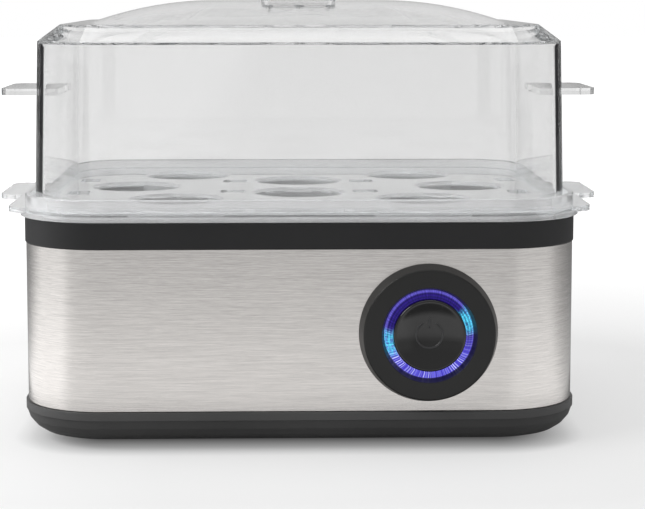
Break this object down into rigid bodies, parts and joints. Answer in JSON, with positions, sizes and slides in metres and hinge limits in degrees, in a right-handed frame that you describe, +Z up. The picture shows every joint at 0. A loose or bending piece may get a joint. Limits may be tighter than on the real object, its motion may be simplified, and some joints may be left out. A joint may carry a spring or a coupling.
{
  "type": "egg cooker",
  "caption": "Electric egg cooker: brushed steel body with a lit power button, water bowl, lift-out clear egg tray and a clear domed lid with side handles.",
  "frame": {"origin": "on the surface it stands on, under the middle of the body", "axes": "+Z up, front with the button at -Y, +X to the right seen from the front"},
  "size_m": [0.2384, 0.183, 0.177],
  "materials": {
    "clear_plastic": "clear gloss",
    "black_plastic": "fine satin",
    "bezel_plastic": "fine satin",
    "brushed_steel": "brushed, grain level",
    "coated_bowl": "dark non-stick coating",
    "silicone": "matt",
    "foot_rubber": "matt",
    "screw_steel": "zinc plated",
    "sheath": "dull heat-stained steel",
    "ceramic": "matt",
    "shield_metal": "mill finish",
    "phenolic": "matt",
    "light_guide": "clear, lit blue",
    "lamp": "lit blue",
    "board": "solder mask",
    "lead_jacket": "braided sleeve"
  },
  "bodies": {
    "base": {"base_shell": "black_plastic", "rubber_feet": "foot_rubber", "case_screws": "screw_steel", "steel_sleeve": "brushed_steel", "top_ring": "black_plastic", "bowl_seal": "silicone", "heating_bowl": "coated_bowl", "bowl_screws": "screw_steel", "heating_element": "sheath", "element_terminals": "ceramic", "thermostat": "phenolic", "thermostat_clip": "shield_metal", "clip_nuts": "screw_steel", "thermal_fuse": "ceramic", "fuse_clip": "shield_metal", "heat_shield": "shield_metal", "shield_screws": "screw_steel", "terminal_block": "ceramic", "block_screw": "screw_steel", "cord_gland": "black_plastic", "gland_nut": "black_plastic", "button_bezel": "bezel_plastic", "light_ring": "light_guide", "led_board": "board", "blue_leds": "lamp", "switch_carrier": "black_plastic", "carrier_screws": "screw_steel", "push_switch": "phenolic", "leads": "lead_jacket", "button_spring": "screw_steel"},
    "button": {"push_button": "bezel_plastic", "stem_clip": "screw_steel", "switch_plunger": "ceramic"},
    "tray": {"egg_tray": "clear_plastic", "egg_rack": "clear_plastic"},
    "lid_body": {"lid": "clear_plastic"}
  },
  "joints": [
    {"name": "tray_lift", "type": "slide", "parent": "base", "child": "tray", "axis": [0, 0, 1], "range_m": [0, 0.08]},
    {"name": "lid_lift", "type": "slide", "parent": "tray", "child": "lid_body", "axis": [0, 0, 1], "range_m": [0, 0.1]},
    {"name": "button_press", "type": "slide", "parent": "base", "child": "button", "axis": [0, 1, 0], "range_m": [0, 0.0025], "stiffness_N_per_m": 500, "springref_m": -0.002, "deforming": ["button_spring"]}
  ]
}
